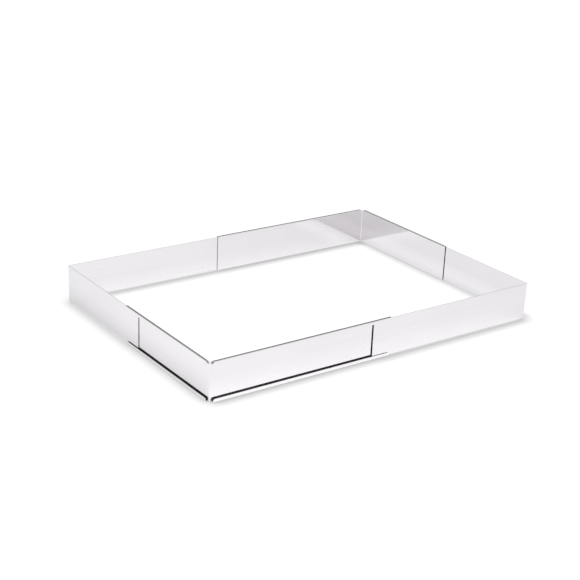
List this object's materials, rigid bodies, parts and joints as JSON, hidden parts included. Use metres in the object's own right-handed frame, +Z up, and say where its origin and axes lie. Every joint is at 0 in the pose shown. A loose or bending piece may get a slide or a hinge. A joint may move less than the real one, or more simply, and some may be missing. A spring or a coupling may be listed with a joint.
{
  "type": "adjustable cake frame",
  "caption": "Rectangular bottomless cake frame of bent sheet-steel corners, folded channels on opposite corners holding plain ones, sliding to set its length and width.",
  "frame": {"origin": "on the table, at the centre of the rectangle as the frame stands in the picture", "axes": "+X along the long side, +Y along the short side from the front wall to the back wall, +Z up"},
  "size_m": [0.487, 0.3494, 0.05],
  "materials": {
    "steel": "bright rolled stainless sheet, nearly a mirror, with fine rolling lines and cut edges left duller"
  },
  "bodies": {
    "front_corner": {"front_channel_corner": "steel"},
    "right_corner": {"right_plain_corner": "steel"},
    "left_corner": {"left_plain_corner": "steel"},
    "back_corner": {"back_channel_corner": "steel"}
  },
  "joints": [
    {"name": "length_slide", "type": "slide", "parent": "front_corner", "child": "right_corner", "axis": [1, 0, 0], "range_m": [-0.2255, 0.014]},
    {"name": "width_slide", "type": "slide", "parent": "front_corner", "child": "left_corner", "axis": [0, 1, 0], "range_m": [-0.1555, 0.015]},
    {"name": "back_length_slide", "type": "slide", "parent": "left_corner", "child": "back_corner", "axis": [1, 0, 0], "range_m": [-0.2255, 0.014]}
  ],
  "couplings": [
    {"joint": "back_length_slide", "follows": "length_slide", "ratio": 1}
  ]
}
